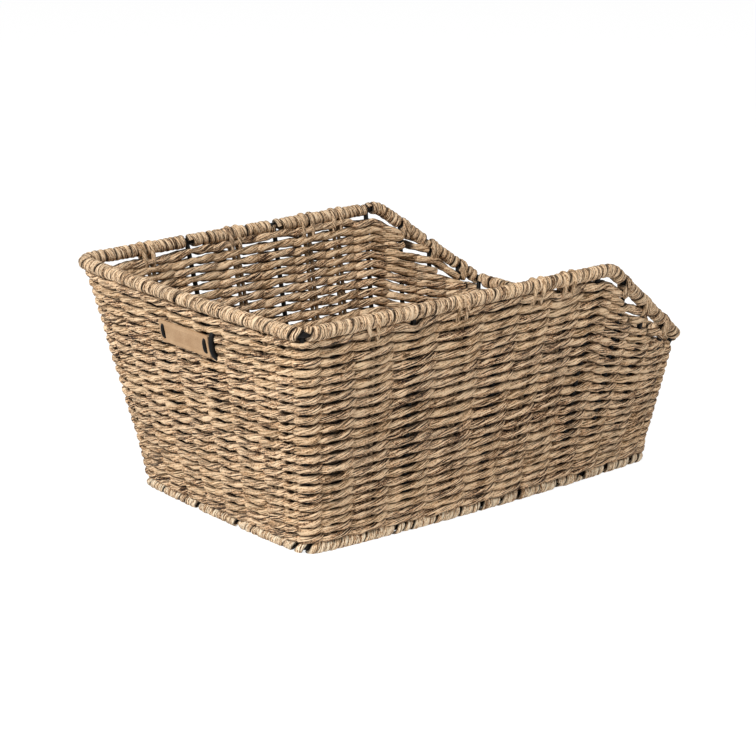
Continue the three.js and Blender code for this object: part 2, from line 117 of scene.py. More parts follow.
# Levels of rows that run on along the slope: places on a long side and the row's height at each
SLOPE_LEVELS = {
    ("far", 21): ([0.6, 0.729], [174, 157]),
    ("far", 20): ([0.6, 0.729], [164, 153.5]),
    ("near", 20): ([0.6, 0.729], [163, 152]),
    ("far", 19): ([0.6, 0.765, 0.89], [152, 142, 122.6]),
    ("near", 19): ([0.6, 0.75], [152, 145]),
    ("far", 17): ([0.765, 0.985], [126, 110.5]),
    ("near", 17): ([0.765, 0.985], [126, 110.5]),
}
# Share of the top row's rise that each row under it takes too
SHARED_RISE = {22: 1.0, 21: 0.5, 20: 0.2}
# How far the top row rises towards the rim at places on a wall, in millimetres
TOP_ROW_LIFTS = {
    "far": ([-1, -0.6, -0.52, -0.47, -0.43, -0.38, -0.35, -0.32, -0.28, -0.02, 0.01, 0.035, 0.063, 0.1,
             0.28, 0.33],
            [0, 0.3, 3.6, 2.4, 3.8, 2.2, 3.8, 1.4, 4.0, 4.0, 2.2, 3.8, 2.2, 4.0, 3.8, 0]),
    "near": ([-1, -0.95, -0.57, -0.54, -0.5, -0.47, 0.14, 0.19, 0.24, 0.3, 0.34, 0.38],
             [2.0, 3.2, 3.2, -0.5, -0.5, 3.4, 3.4, -1.6, -1.2, 2.0, 2.4, 0]),
    "high": ([0], [2.6]),
}

# Places along a wall run from -1 at one corner to 1 at the other
SIDE_WIRE_STAKES = [-0.517, -0.086, 0.397, 0.574, 0.729, 0.89]
SIDE_CORD_PAIRS = [-0.711, -0.293, 0.078, 0.233]
WIRE_STAKES = {
    "far": SIDE_WIRE_STAKES, "near": SIDE_WIRE_STAKES, "high": [-0.25, 0.25], "low": [-0.25, 0.25]}
CORD_PAIRS = {
    "far": SIDE_CORD_PAIRS, "near": SIDE_CORD_PAIRS, "high": [-0.75, -0.5, 0, 0.5, 0.75],
    "low": [-0.6, 0, 0.6]}
CORNERS = [("far", -1), ("far", 1), ("near", -1), ("near", 1)]
# Where strands change sides near a corner without a stake
CORNER_CROSSINGS = {"far": [-0.88], "near": [-0.88], "high": [-0.89, 0.89], "low": []}
FLOOR_WIRES = [SIDE_WIRE_STAKES[i] for i in (0, 1, 2, 4)]
# How far after each floor wire the floor's strands change sides again
FLOOR_CROSSINGS = [42, 52, 36, 30]
FLOOR_ROW_PITCH = 9.0
# The floor's rows end this far inside the base's winding
FLOOR_EDGE_GAP = 2.2
# Where the strands change sides beyond the first floor wire
FLOOR_END_CROSSINGS = [-190, -150]

# Length of the gaps in the windings, and where the rim's gaps stand
WINDING_GAP = 5.5
NEAR_CORNER_GAP = 4.6
RIM_GAPS = {"far": [*SIDE_WIRE_STAKES, -1, 1], "near": [0.538, 0.713, 0.878, 1]}
# Lashing loops: how far above and below the rim wire they reach, and half their width
LOOP_TOP = 5.4
LONG_LOOP = 16.5
SHORT_LOOP = 10.5
LOOP_HALF = 6.2
# Half the distance between the two cords of a pair, and how much it grows at the rim
PAIR_HALF = 2.5
PAIR_SPREAD = 1.6

# Label plate
LABEL_SIZE = (70, 20, 2)
LABEL_CORNER = 1.6
LABEL_SOFTNESS = 0.45
LABEL_SLOT = (4, 13)
SLOT_PLACE = 29.8
LABEL_PROUD = 7.2
LABEL_LEVEL = 166.5
LABEL_OFFSET = -9

# Points along the lines of stakes, cord pairs, loops and the base wire's four parts, and along a long side
# of a row, an end of a row and a row of the floor
STAKE_POINTS, PAIR_POINTS, LOOP_POINTS, BASE_POINTS = 22, 60, 41, 81
SIDE_POINTS, END_POINTS, FLOOR_POINTS = 121, 73, 130
LONG_SIDES = ("far", "near")

HIGH_END = BASE_LENGTH / 2 + HIGH_END_LEAN
LOW_END = BASE_LENGTH / 2 + LOW_END_LEAN
HIGH_HALF_WIDTH = BASE_WIDTH / 2 + SIDE_LEAN
LOW_HALF_WIDTH = BASE_WIDTH / 2 + LOW_SIDE_LEAN
RIM_Z = BASE_Z + RIM_HEIGHT
LOW_RIM_Z = BASE_Z + LOW_RIM_HEIGHT
KINK = SLOPE_START / HIGH_END
SLOPE_DROP = (RIM_Z - LOW_RIM_Z) / (LOW_END - SLOPE_START)
UP = np.array([0.0, 0.0, 1.0])


# ---- Outlines of the wire frame ----

def unit(vectors):
    vectors = np.asarray(vectors, float)
    return vectors / np.linalg.norm(vectors, axis=-1, keepdims=True)


def rounded(before, corner, after, radius):
    """Arc that rounds the corner of a line."""
    before, corner, after = (np.asarray(p, float) for p in (before, corner, after))
    back, ahead = unit(before - corner), unit(after - corner)
    half = math.acos(float(np.clip(back @ ahead, -1, 1))) / 2
    centre = corner + unit(back + ahead) * radius / math.sin(half)
    reach = radius / math.tan(half)
    first, last = corner + back * reach - centre, corner + ahead * reach - centre
    turn = math.pi - 2 * half
    angles = np.linspace(0, turn, 13)[:, None]
    return centre + (first * np.sin(turn - angles) + last * np.sin(angles)) / math.sin(turn)


class Outline:
    """The walls' outline at one level, which gives the point at a place on a wall."""

    def __init__(self, high, low, width, low_width, side_bow, end_bow, radius):
        def side_y(t):
            straight = np.where(t < KINK, width, width + (low_width - width) * (t - KINK) / (1 - KINK))
            return straight + side_bow * (1 - t * t)

        def side(t):
            return np.stack([np.where(t < 0, t * high, t * low), side_y(t)], -1)

        def end(sign, reach, share):
            x = sign * (reach + end_bow * (1 - share * share))
            return np.stack([x, share * float(side_y(np.array(float(sign))))], -1)

        share = np.linspace(0, 1, 41)
        along = np.linspace(-1, 1, 161)
        halves = []
        for sign, reach in ((-1, high), (1, low)):
            corner = end(sign, reach, np.array(1.0))
            arc = rounded(end(sign, reach, np.array(0.5)), corner, side(np.array(sign * 0.8)), radius)
            run = end(sign, reach, share)
            run = run[run[:, 1] < corner[1] - radius]
            halves.append((run, arc))
        (high_run, high_arc), (low_run, low_arc) = halves
        middle = len(high_arc) // 2
        flank = side(along)
        flank = flank[(flank[:, 0] > high_arc[-1, 0] + 1) & (flank[:, 0] < low_arc[-1, 0] - 1)]
        self.side = np.vstack([high_arc[middle:], flank, low_arc[middle:][::-1]])
        self.high = np.vstack([high_run, high_arc[:middle + 1]])
        self.low = np.vstack([low_run, low_arc[:middle + 1]])

    def at(self, wall, place, z):
        place = np.atleast_1d(np.asarray(place, float))
        if wall in LONG_SIDES:
            first, last = self.side[0, 0], self.side[-1, 0]
            x = first + (last - first) * (place + 1) / 2
            y = np.interp(x, self.side[:, 0], self.side[:, 1]) * (1 if wall == "far" else -1)
        else:
            run = self.high if wall == "high" else self.low
            y = place * run[-1, 1]
            x = np.interp(np.abs(y), run[:, 1], run[:, 0])
        return np.stack([x + CENTRE_SHIFT, y, np.full_like(x, z)], -1)


full_height = RIM_HEIGHT / LOW_RIM_HEIGHT
base_outline = Outline(BASE_LENGTH / 2, BASE_LENGTH / 2, BASE_WIDTH / 2, BASE_WIDTH / 2,
                       BASE_SIDE_BOW, BASE_END_BOW, BASE_CORNER_RADIUS)
top_outline = Outline(HIGH_END, BASE_LENGTH / 2 + LOW_END_LEAN * full_height, HIGH_HALF_WIDTH,
                      BASE_WIDTH / 2 + LOW_SIDE_LEAN * full_height, 0, RIM_END_BOW, RIM_CORNER_RADIUS)


def wall_line(wall, place):
    """Foot and head of the wall at a place, on the base wire and level with the high rim."""
    return base_outline.at(wall, place, BASE_Z), top_outline.at(wall, place, RIM_Z)


def rim_z(x):
    """Height of the rim wire's middle on a long side."""
    return RIM_Z - SLOPE_DROP * np.maximum(x - CENTRE_SHIFT - SLOPE_START, 0)


def rim_path():
    """The rim wire's line all round, from the middle of the high end along the far side."""
    def at(x, y, z):
        return np.array([x + CENTRE_SHIFT, y, z], float)

    def end(x, bow, reach, z):
        share = np.linspace(0, 0.9, 19)
        return np.stack([np.full_like(share, CENTRE_SHIFT + x) + bow * (1 - share ** 2),
                         share * reach, np.full_like(share, z)], -1)

    high_corner = at(-HIGH_END, HIGH_HALF_WIDTH, RIM_Z)
    bend = at(SLOPE_START, HIGH_HALF_WIDTH, RIM_Z)
    low_corner = at(LOW_END, LOW_HALF_WIDTH, LOW_RIM_Z)
    high_run = end(-HIGH_END, -RIM_END_BOW, HIGH_HALF_WIDTH, RIM_Z)
    low_run = end(LOW_END, RIM_END_BOW, LOW_HALF_WIDTH, LOW_RIM_Z)
    half = np.vstack([
        high_run[high_run[:, 1] < HIGH_HALF_WIDTH - RIM_CORNER_RADIUS],
        rounded(high_run[10], high_corner, bend, RIM_CORNER_RADIUS),
        rounded(high_corner, bend, low_corner, SLOPE_BEND_RADIUS),
        rounded(bend, low_corner, low_run[10], RIM_CORNER_RADIUS),
        low_run[low_run[:, 1] < LOW_HALF_WIDTH - RIM_CORNER_RADIUS][::-1],
    ])
    return np.vstack([half, (half * [1, -1, 1])[1:-1][::-1]])


RIM = rim_path()


def nearest_on(points, line):
    """For each point, its distance to the nearest point of a line."""
    return np.sqrt(((points[:, None, :] - line[None, :, :]) ** 2).sum(-1)).min(1)


def run_along(line):
    """Length of a line up to each of its points."""
    return np.r_[0, np.cumsum(np.linalg.norm(np.diff(line, axis=0), axis=1))]


def resampled(line, step, closed=False):
    """The same line with points at even distances."""
    line = np.vstack([line, line[:1]]) if closed else line
    run = run_along(line)
    count = max(int(round(run[-1] / step)), 2)
    places = np.linspace(0, run[-1], count + 1)
    return np.stack([np.interp(places, run, line[:, i]) for i in range(3)], -1)


# ---- Finishes: one class writes sums and nodes for materials and for shapes ----

class Value:
    """A node's output that can stand in a sum; each sum adds the Math node that it needs."""

    def __init__(self, sheet, socket):
        self.sheet, self.socket = sheet, socket

    def _math(self, operation, *terms):
        return self.sheet.node("ShaderNodeMath", {"operation": operation}, dict(enumerate(terms)))[0]

    def __add__(self, other): return self._math("ADD", self, other)
    def __radd__(self, other): return self._math("ADD", other, self)
    def __sub__(self, other): return self._math("SUBTRACT", self, other)
    def __mul__(self, other): return self._math("MULTIPLY", self, other)
    def __truediv__(self, other): return self._math("DIVIDE", self, other)

    def __abs__(self): return self._math("ABSOLUTE", self)

    def cos(self): return self._math("COSINE", self)
    def sin(self): return self._math("SINE", self)
    def larger(self, other): return self._math("MAXIMUM", self, other)


class Node:
    def __init__(self, sheet, node):
        self.sheet, self.node = sheet, node

    def __getitem__(self, key):
        return Value(self.sheet, self.node.outputs[key])


class Sheet:
    """The nodes of one material or one shape."""

    def __init__(self, group):
        self.group = group

    def node(self, kind, settings=None, sockets=None):
        node = self.group.nodes.new(kind)
        for name, value in (settings or {}).items():
            if name == "stops":
                stops = node.color_ramp.elements
                while len(stops) < len(value):
                    stops.new(1)
                for stop, (place, colour) in zip(stops, value):
                    stop.position, stop.color = place, (*colour, 1)
            else:
                setattr(node, name, value)
        self.fill(node, sockets or {})
        return Node(self, node)

    def fill(self, node, sockets):
        """Sets a node's inputs, or links them where they are given a value from another node."""
        for key, value in sockets.items():
            if isinstance(value, Value):
                self.group.links.new(value.socket, node.inputs[key])
            else:
                node.inputs[key].default_value = value

    def vectors(self, operation, a, b):
        return self.node("ShaderNodeVectorMath", {"operation": operation}, {0: a, 1: b})

    def scaled(self, vector, by):
        return self.node("ShaderNodeVectorMath", {"operation": "SCALE"}, {0: vector, "Scale": by})[0]

    def added(self, a, b):
        return self.vectors("ADD", a, b)[0]

    def along(self, vector, direction):
        """How far a vector reaches in a direction."""
        return self.vectors("DOT_PRODUCT", vector, direction)[1]

    def noise(self, vector, scale, detail=2.0, roughness=0.5):
        return self.node("ShaderNodeTexNoise", {}, {
            "Vector": vector, "Scale": scale, "Detail": detail, "Roughness": roughness})

    def blended(self, share, first, second):
        return self.node("ShaderNodeMix", {"data_type": "RGBA"}, {0: share, 6: first, 7: second})[2]

    def place(self):
        return self.node("ShaderNodeTexCoord")["Object"]

    def bump(self, height, strength, distance):
        return self.node("ShaderNodeBump", {}, {"Strength": strength, "Distance": distance, "Height": height})[0]

    def read(self, name):
        """What a shape tree has stored on the mesh under a name."""
        return self.node("ShaderNodeAttribute", {"attribute_name": name})

    def stepped(self, value, low, high, to_low=0.0, to_high=1.0):
        """Spreads the range from low to high over 0 to 1, or over the range given."""
        return self.node("ShaderNodeMapRange", {"clamp": True}, {
            0: value, 1: low, 2: high, 3: to_low, 4: to_high})[0]


def linear(*rgb):
    """A colour written as it looks on screen, 0 to 255, in the renderer's own scale."""
    return tuple((c / 255 / 12.92) if c <= 10 else ((c / 255 + 0.055) / 1.055) ** 2.4 for c in rgb)


def coloured(*rgb):
    return (*linear(*rgb), 1.0)


def finish_sheet(name):
    material = bpy.data.materials.new(name)
    material.use_nodes = True
    sheet = Sheet(material.node_tree)
    shader = material.node_tree.nodes["Principled BSDF"]
    return material, sheet, shader


# The cord's grain: fibres to a ply, blotches and speckle to a metre, and how strongly each shows in its tone
FIBRES_TO_A_PLY = 2.2
BLOTCH_SCALE = 30.0
SPECKLE_SCALE = 620.0
TONE = {"plies": 4.0, "fibres": 6.6, "speckle": 2.2, "tint": 0.24, "blotches": 0.7}
MIDDLE_TONE = 0.52
# Where the groove's, shade's, body's and ridge's colours stand between the darkest tone and the palest
TONE_PLACES = (0.0, 0.28, 0.6, 1.0)
# Grey for the blotches and straw for some strands; CORD_SHADOW is the painted shadow colour of the crevices, and
# EDGE_SHADE is how far the painted shade goes towards it
CORD_GREY, CORD_STRAW, CORD_SHADOW = (186, 166, 142), (196, 158, 108), (26, 18, 13)
EDGE_SHADE = 0.94
CORD_RELIEF = 0.0024
FINE_RELIEF = 0.0003
CORD_ROUGHNESS = (0.77, 0.93)


def cord_finish(name, ridge, body, shade, groove, streak=2.6, contrast=1.0):
    """Twisted dry grass: ridges and grooves along the twist, a tint for each strand, and painted shade where the
    shape tree marks edges and crevices.
    """
    material, sheet, shader = finish_sheet(name)
    lay = sheet.read("lay")["Vector"]
    tint, edge = sheet.read("tint")["Fac"], sheet.read("edge")["Fac"]
    place = sheet.place()
    plies = sheet.noise(lay, streak, 1.0, 0.5)[0]
    fibres = sheet.noise(lay, streak * FIBRES_TO_A_PLY, 1.0, 0.6)[0]
    blotches = sheet.noise(place, BLOTCH_SCALE, 2.0, 0.55)[0]
    speckle = sheet.noise(place, SPECKLE_SCALE, 1.0, 0.6)[0]
    grain = ((plies - 0.5) * TONE["plies"] + (fibres - 0.5) * TONE["fibres"]
             + (speckle - 0.5) * TONE["speckle"])
    tone = (grain * contrast + (tint - 0.5) * TONE["tint"] + (blotches - 0.5) * TONE["blotches"]
            + MIDDLE_TONE)
    colours = [linear(*colour) for colour in (groove, shade, body, ridge)]
    ramp = sheet.node("ShaderNodeValToRGB", {"stops": list(zip(TONE_PLACES, colours))}, {0: tone})[0]
    grey = sheet.blended(sheet.stepped(blotches, 0.45, 0.75, 0.0, 0.22), ramp, coloured(*CORD_GREY))
    warm = sheet.blended(sheet.stepped(tint, 0.4, 1.0, 0.0, 0.2), grey, coloured(*CORD_STRAW))
    # Painted shade: towards the shadow colour where the shape tree marks edges and crevices
    shaded = sheet.blended(edge * EDGE_SHADE, warm, coloured(*CORD_SHADOW))
    bump = sheet.bump(plies * 0.5 + fibres * 0.5, 1.0, CORD_RELIEF)
    sheet.fill(shader, {
        "Base Color": shaded, "Normal": bump, "Specular IOR Level": 0.2,
        "Roughness": sheet.stepped(fibres, 0.3, 0.7, *CORD_ROUGHNESS)})
    return material


def black_wire_finish():
    """Black enamel on wire, a little worn and dusty."""
    material, sheet, shader = finish_sheet("black_wire_enamel")
    place = sheet.place()
    dust = sheet.noise(place, 55.0, 4.0, 0.6)[0]
    pits = sheet.noise(place, 700.0, 2.0, 0.5)[0]
    black, dusty = coloured(10, 9, 9), coloured(24, 22, 21)
    sheet.fill(shader, {
        "Base Color": sheet.blended(sheet.stepped(dust, 0.45, 0.75), black, dusty),
        "Normal": sheet.bump(pits, 0.15, FINE_RELIEF),
        "Roughness": sheet.stepped(dust, 0.3, 0.7, 0.42, 0.6), "Specular IOR Level": 0.15})
    return material


def label_finish():
    """Tan leather board: fine pores, soft blotches and a darker rubbed edge."""
    material, sheet, shader = finish_sheet("label_board")
    place = sheet.place()
    blotches = sheet.noise(place, 70.0, 3.0, 0.6)[0]
    pores = sheet.noise(place, 900.0, 3.0, 0.6)[0]
    edge = sheet.node("ShaderNodeNewGeometry")["Pointiness"]
    dark_tan, pale_tan = coloured(196, 158, 116), coloured(214, 178, 136)
    pore_brown, edge_brown = coloured(126, 92, 58), coloured(110, 78, 48)
    tan = sheet.blended(sheet.stepped(blotches, 0.35, 0.68), dark_tan, pale_tan)
    spotted = sheet.blended(sheet.stepped(pores, 0.5, 0.72, 0.0, 0.4), tan, pore_brown)
    rubbed = sheet.blended(sheet.stepped(edge, 0.51, 0.56, 0.0, 0.45), spotted, edge_brown)
    sheet.fill(shader, {
        "Base Color": rubbed, "Normal": sheet.bump(pores, 0.3, FINE_RELIEF),
        "Roughness": sheet.stepped(pores, 0.3, 0.7, 0.55, 0.75)})
    return material


WOVEN = cord_finish("woven_grass_cord", (248, 218, 180), (226, 184, 142), (168, 126, 90), (40, 26, 17),
                    contrast=0.84)
WOUND = cord_finish("wound_grass_cord", (246, 218, 182), (232, 194, 153), (190, 150, 112), (60, 40, 26),
                    streak=1.8, contrast=0.8)
# Painted light: the base's winding is the same cord as the rim's, in paler colours that make up for the shade
# under the leaning walls
PAINTED_LIGHT_BASE_WOUND = cord_finish("painted_light_base_grass_cord", (255, 240, 212), (255, 224, 184), (226, 184, 142), (110, 78, 52),
                         streak=1.8, contrast=0.8)
# Painted shade: the cord pairs get darker colours than the woven cord, for the shade deep in the weave's slits
PAINTED_SHADE_WARP = cord_finish("warp_cord", (206, 176, 140), (168, 136, 100), (124, 94, 66), (60, 42, 30))
BLACK_WIRE = black_wire_finish()
LABEL = label_finish()


# ---- Shapes made by node trees ----

class ShapeTree(Sheet):
    """A Geometry Nodes tree with named inputs; a Length is given to it in millimetres."""

    def __init__(self, name, inputs):
        group = bpy.data.node_groups.new(name, "GeometryNodeTree")
        super().__init__(group)
        self.kinds, self.keys = inputs, {}
        face = group.interface
        face.new_socket(name="Geometry", in_out="OUTPUT", socket_type="NodeSocketGeometry")
        face.new_socket(name="Geometry", in_out="INPUT", socket_type="NodeSocketGeometry")
        for label, kind in inputs.items():
            kind = "Float" if kind == "Length" else kind
            item = face.new_socket(name=label, in_out="INPUT", socket_type=f"NodeSocket{kind}")
            self.keys[label] = item.identifier
        self.given = self.node("NodeGroupInput")

    def field(self, name, kind="FLOAT"):
        return self.node("GeometryNodeInputNamedAttribute", {"data_type": kind}, {"Name": name})[0]

    def direction(self, name):
        return self.field(name, "FLOAT_VECTOR")

    def stored(self, geometry, name, value, kind="FLOAT"):
        return self.node("GeometryNodeStoreNamedAttribute", {"data_type": kind, "domain": "POINT"},
                         {"Geometry": geometry, "Name": name, "Value": value})[0]

    def marked(self, geometry, name, direction):
        return self.stored(geometry, name, direction, "FLOAT_VECTOR")

    def vector(self, x, y, z):
        return self.node("ShaderNodeCombineXYZ", {}, {0: x, 1: y, 2: z})[0]

    def place(self):
        return self.node("GeometryNodeInputPosition")[0]

    def away_from(self, name):
        """How far each point lies from the place stored for it under a name."""
        return self.added(self.place(), self.scaled(self.direction(name), -1.0))

    def wander(self, scale, seed):
        """A smooth random direction at each place, each part from -0.5 to 0.5."""
        place = self.added(self.place(), self.vector(seed, seed, seed))
        return self.added(self.noise(place, scale, 1.0)[1], (-0.5, -0.5, -0.5))

    def moved(self, geometry, shift):
        return self.node("GeometryNodeSetPosition", {}, {"Geometry": geometry, "Offset": shift})[0]

    def curve(self, step):
        """The given lines as curves with points at even distances."""
        curve = self.node("GeometryNodeMeshToCurve", {}, {"Mesh": self.given["Geometry"]})[0]
        return self.node("GeometryNodeResampleCurve", {"mode": "LENGTH"}, {"Curve": curve, "Length": step})[0]

    def run(self):
        """Length of the curve up to each point."""
        return self.node("GeometryNodeSplineParameter")["Length"]

    def circle(self, sides, radius):
        return self.node("GeometryNodeCurvePrimitiveCircle", {}, {"Resolution": sides, "Radius": radius})["Curve"]

    def swept(self, curve, profile, length, twist):
        """Skin of a cord along a curve, and where each point lies round and along the cord."""
        ring = self.stored(profile, "ring", self.node("GeometryNodeSplineParameter")["Factor"])
        run = self.stored(self.stored(curve, "run", length), "twist", twist)
        skin = self.node("GeometryNodeCurveToMesh", {}, {
            "Curve": run, "Profile Curve": ring, "Fill Caps": True})[0]
        angle = self.field("ring") * TURN + self.field("twist")
        lay = self.vector(angle.cos(), angle.sin(), self.field("run") * LAY_STRETCH)
        return self.marked(skin, "lay", lay), angle

    def finished(self, skin, edge, material):
        """The skin smooth, in its material, with the painted shade at its edges that its finish reads."""
        skin = self.stored(skin, "edge", edge)
        skin = self.node("GeometryNodeSetShadeSmooth", {}, {"Geometry": skin})[0]
        skin = self.node("GeometryNodeRealizeInstances", {}, {"Geometry": skin})[0]
        skin = self.node("GeometryNodeSetMaterial", {}, {"Geometry": skin, "Material": material})[0]
        self.node("NodeGroupOutput", {}, {0: skin})


# How far the grain's noise runs along a metre of cord; round the cord it runs on a circle of radius 1
LAY_STRETCH = 14.0

# Strands of the weave. Scales of noise are to a metre; a span is where an effect begins and where it is full.
WANDER_SCALE, SWELL_SCALE, SLACK_SCALE = 26.0, 60.0, 75.0
THINNEST, SWELL = 0.66, 0.68
SLACK_RANGE = (0.6, 1.4)
FRONT_SPAN, FRONT_FULLNESS, PLAIN_THINNING = (0.0, 0.55), 0.2, 0.02
PINCH_SPAN, PINCH_DEPTH = (0.78, 0.95), 0.4
FRONT_FLATTENING = 0.1
SQUARENESS = 0.4
# Painted shade in the weave's crevices: on the side towards the stakes, under a pinch and at a row's edges, and
# how dark the row's edges go
INNER_PAINTED_SHADE_SPAN, UNDER_PAINTED_SHADE_SPAN = (0.0, -0.5), (-0.55, -0.85)
ROW_EDGE_PAINTED_SHADE_SPAN, ROW_EDGE_SHADE = (0.84, 1.04), 0.72


def strand_tree():
    """A strand along each line: it lies level in front of a stake or behind it, changes sides quickly
    between two stakes, and is pinched where it passes a stake."""
    tree = ShapeTree("twined strands", {
        "Radius": "Length", "Swing": "Length", "Rise": "Length", "Row Height": "Length", "Step": "Length",
        "Lay": "Length", "Lobes": "Float", "Lobe Depth": "Length", "Sides": "Int", "Unevenness": "Length",
        "Seed": "Float", "Material": "Material"})
    given = tree.given
    out, rise = tree.direction("out"), tree.direction("rise")
    room, hold, tint = tree.field("room"), tree.field("hold"), tree.field("tint")
    even = tree.field("phase") * math.pi
    angle = even - (even * 2.0).sin() * CROSSING * 0.5

    # The strand's line: it swings to both sides of the stakes and climbs from one side to the other
    curve = tree.marked(tree.curve(given["Step"]), "axis", tree.place())
    swing = tree.scaled(out, angle.cos() * given["Swing"] * hold)
    climb = tree.scaled(rise, angle.sin() * given["Rise"] * hold * room)
    drift = tree.scaled(tree.wander(WANDER_SCALE, given["Seed"]), given["Unevenness"])
    curve = tree.moved(curve, tree.added(tree.added(swing, climb), drift))
    curve = tree.marked(curve, "centre", tree.place())
    length = tree.run()
    swell = tree.noise(tree.added(tree.place(), tree.scaled(rise, tint * 0.05)), SWELL_SCALE, 1.0)[0]
    curve = tree.node("GeometryNodeSetCurveRadius", {}, {
        "Curve": curve, "Radius": tree.field("thick") * (THINNEST + swell * SWELL)})[0]
    skin, around = tree.swept(curve, tree.circle(given["Sides"], given["Radius"]),
                              length + tint * 3.0, length / given["Lay"] * TURN)

    # Its section: taller and flatter where it lies in front or behind, pinched right at a stake, with lobes
    front = abs(angle.cos())
    arm = tree.away_from("centre")
    high, deep = tree.along(arm, rise), tree.along(arm, out)
    corner = high * deep / (given["Radius"] * given["Radius"])
    slack = tree.stepped(tree.noise(tree.direction("axis"), SLACK_SCALE, 1.0)[0],
                         0.35, 0.65, *SLACK_RANGE)
    pinch = tree.stepped(abs(even.cos()), *PINCH_SPAN) * tree.field("squeeze") * slack
    fullness = tree.stepped(front, *FRONT_SPAN) * FRONT_FULLNESS - pinch * PINCH_DEPTH - PLAIN_THINNING
    taller = tree.scaled(rise, high * (fullness + corner * corner * SQUARENESS))
    flatter = tree.scaled(out, deep * (front * -FRONT_FLATTENING + corner * corner * SQUARENESS))
    lobe = tree.scaled(tree.node("GeometryNodeInputNormal")["Normal"],
                       (around * given["Lobes"]).cos() * given["Lobe Depth"])
    skin = tree.moved(skin, tree.added(tree.added(taller, flatter), lobe))

    # Painted shade: darker on the side towards the stakes, under a pinch and at the row's edges, where the
    # weave's crevices lie in shade
    skin = tree.stored(skin, "inner", tree.stepped(deep * angle.cos() / given["Radius"], *INNER_PAINTED_SHADE_SPAN))
    skin = tree.stored(skin, "under", tree.stepped(high / given["Radius"], *UNDER_PAINTED_SHADE_SPAN) * pinch)
    level = abs(tree.along(tree.away_from("axis"), rise)) / (given["Row Height"] * room * 0.5)
    edge = tree.stepped(level, *ROW_EDGE_PAINTED_SHADE_SPAN) * ROW_EDGE_SHADE
    tree.finished(skin, edge.larger(tree.field("inner")).larger(tree.field("under")), given["Material"])
    return tree


# Cord wound round a wire: points to a turn, the turns' hand, its noises' scales and its twist to a metre
TURN_STEPS = 16.0
HAND = -1.0
TURN_SLACK_SCALE, BULGE_SCALE, WOUND_TINT_SCALE = 95.0, 150.0, 30.0
WOUND_TWIST = 120.0


def winding_tree():
    """Cord wound round each line in turns that touch, a little slanted and uneven."""
    tree = ShapeTree("wound cord", {
        "Reach": "Length", "Pitch": "Length", "Width": "Length", "Thickness": "Length", "Slack": "Float",
        "Lean": "Length", "Painted Shade Border": "Float", "Sides": "Int", "Unevenness": "Float", "Seed": "Float",
        "Material": "Material"})
    given = tree.given
    curve = tree.curve(given["Pitch"] / TURN_STEPS)
    place = tree.added(tree.place(), tree.vector(given["Seed"], given["Seed"], given["Seed"]))
    slack = tree.noise(place, TURN_SLACK_SCALE, 2.0)[0] - 0.5
    angle = (tree.run() / given["Pitch"] + slack * given["Slack"]) * TURN
    across = tree.node("GeometryNodeInputNormal")["Normal"]
    ahead = tree.node("GeometryNodeInputTangent")[0]
    other = tree.vectors("CROSS_PRODUCT", ahead, across)[0]
    spoke = tree.added(tree.scaled(across, angle.cos()), tree.scaled(other, angle.sin() * HAND))
    curve = tree.marked(curve, "spoke", spoke)
    curve = tree.marked(curve, "ahead", ahead)
    spoke = tree.direction("spoke")
    bulge = 1.0 + (tree.noise(place, BULGE_SCALE, 1.0)[0] - 0.5) * given["Unevenness"]
    lean = tree.along(spoke, (0.0, 0.0, 1.0)) * given["Lean"]
    curve = tree.moved(curve, tree.added(
        tree.scaled(spoke, given["Reach"] * bulge), tree.scaled(tree.direction("ahead"), lean)))
    curve = tree.node("GeometryNodeSetCurveNormal", {"mode": "FREE"}, {"Curve": curve, "Normal": spoke})[0]
    size = tree.vector(given["Thickness"], given["Width"], 1.0)
    oval = tree.vectors("MULTIPLY", tree.place(), size)[0]
    profile = tree.node("GeometryNodeSetPosition", {}, {
        "Geometry": tree.circle(given["Sides"], 0.5), "Position": oval})[0]
    run = tree.run()
    tint = tree.noise(tree.vector(run * WOUND_TINT_SCALE, 0.0, 0.0), 1.0, 1.0)[0]
    curve = tree.stored(curve, "tint", tree.stepped(tint, 0.3, 0.7))
    skin = tree.swept(curve, profile, run, run * WOUND_TWIST)[0]
    # Painted shade: darker on both sides of the cord, where one turn presses on the next
    side = abs((tree.field("ring") * TURN).sin())
    tree.finished(skin, tree.stepped(side, given["Painted Shade Border"], 1.0), given["Material"])
    return tree


STRANDS = strand_tree()
WINDING = winding_tree()


def shown(name, data):
    """A new object in the scene."""
    thing = bpy.data.objects.new(name, data)
    bpy.context.scene.collection.objects.link(thing)
    return thing


def chains(name, lines):
    """A mesh of open lines in metres; each line is its points and what the trees read at each."""
    mesh = bpy.data.meshes.new(name)
    points, edges = [], []
    for line in lines:
        first = len(points)
        points.extend(map(tuple, line["points"] * MM))
        edges.extend((i, i + 1) for i in range(first, len(points) - 1))
    mesh.from_pydata(points, edges, [])
    for key in [key for key in lines[0] if key != "points"]:
        values = np.concatenate([line[key] for line in lines]).astype(np.float32)
        kind, slot = ("FLOAT_VECTOR", "vector") if values.ndim == 2 else ("FLOAT", "value")
        mesh.attributes.new(key, kind, "POINT").data.foreach_set(slot, values.ravel())
    return shown(name, mesh)


